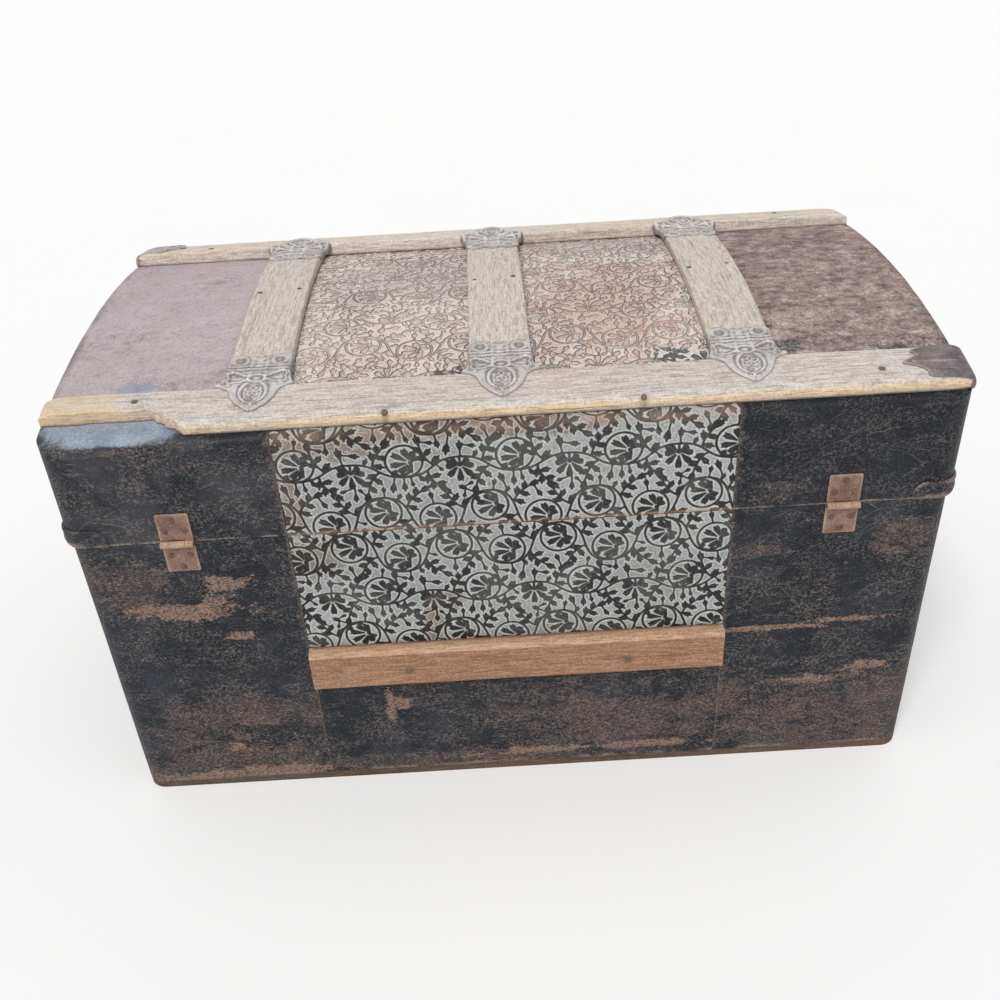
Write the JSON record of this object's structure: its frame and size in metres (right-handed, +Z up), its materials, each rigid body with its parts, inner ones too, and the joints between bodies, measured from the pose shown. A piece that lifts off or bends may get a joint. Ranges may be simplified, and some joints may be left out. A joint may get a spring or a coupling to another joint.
{
  "type": "dome top trunk",
  "caption": "Low-domed travelling trunk of boards clad in sheet metal, with hardwood slats, stamped clasps, strap hinges, a hasp lock and leather end handles.",
  "frame": {"origin": "centre of the bottom face of the bottom board", "axes": "+Z up, +X along the length, +Y towards the hinges, -Y towards the lock"},
  "size_m": [0.9266, 0.4986, 0.4923],
  "materials": {
    "board": "bare softwood board, darkened with age",
    "slat": "weathered hardwood, varnish worn off, greyed on top and warm on the rounded edge",
    "black_sheet": "black japanned sheet, scratched and worn through to brown rust",
    "embossed_sheet": "embossed scrollwork, silver-grey on a black ground, worn",
    "rusty_sheet": "sheet with its paint gone, mauve-brown even rust",
    "embossed_top": "embossed scrollwork gone to tan and pinkish rust with silver remains",
    "clasp": "stamped steel, dull grey-brown patina",
    "hinge": "orange-brown rusted steel",
    "lock": "tarnished brass-plated steel",
    "leather": "dry dark brown leather strap"
  },
  "bodies": {
    "body": {"bottom_board": "board", "body_back_board": "board", "body_front_board": "board", "body_left_board": "board", "body_right_board": "board", "body_end_sheet_left": "black_sheet", "body_end_sheet_right": "black_sheet", "body_back_panel_upper": "embossed_sheet", "body_back_panel_lower": "black_sheet", "body_front_panel_upper": "embossed_sheet", "body_front_panel_lower": "black_sheet", "body_slat_back": "slat", "body_slat_front": "slat", "hinge_body_leaf_left": "hinge", "hinge_body_leaf_right": "hinge", "hinge_pin_left": "hinge", "hinge_pin_right": "hinge", "lock_case": "lock", "handle_strap_left": "leather", "handle_strap_right": "leather", "handle_cap_left_back": "clasp", "handle_cap_left_front": "clasp", "handle_cap_right_back": "clasp", "handle_cap_right_front": "clasp"},
    "lid": {"lid_back_board": "board", "lid_front_board": "board", "lid_left_board": "board", "lid_right_board": "board", "lid_top_board_front": "board", "lid_top_board_middle": "board", "lid_top_board_back": "board", "lid_end_sheet_left": "black_sheet", "lid_end_sheet_right": "black_sheet", "lid_back_panel": "embossed_sheet", "lid_front_panel": "embossed_sheet", "lid_top_sheet_left": "rusty_sheet", "lid_top_sheet_centre": "embossed_top", "lid_top_sheet_right": "rusty_sheet", "lid_slat_back": "slat", "lid_slat_front": "slat", "lid_cross_slat_left": "slat", "lid_cross_slat_middle": "slat", "lid_cross_slat_right": "slat", "clasp_back_left": "clasp", "clasp_back_middle": "clasp", "clasp_back_right": "clasp", "clasp_front_left": "clasp", "clasp_front_middle": "clasp", "clasp_front_right": "clasp", "slat_cap_back_right": "clasp", "slat_cap_front_left": "clasp", "lid_valance_left": "black_sheet", "lid_valance_right": "black_sheet", "hinge_lid_leaf_left": "hinge", "hinge_lid_leaf_right": "hinge", "hasp_plate": "lock", "hasp_pin": "lock"},
    "hasp": {"hasp": "lock"}
  },
  "joints": [
    {"name": "lid_hinge", "type": "hinge", "parent": "body", "child": "lid", "pos_m": [0, 0.2388, 0.345], "axis": [-1, 0, 0], "range_deg": [0, 100]},
    {"name": "hasp_hinge", "type": "hinge", "parent": "lid", "child": "hasp", "pos_m": [0, -0.2388, 0.361], "axis": [-1, 0, 0], "range_deg": [0, 150]}
  ]
}
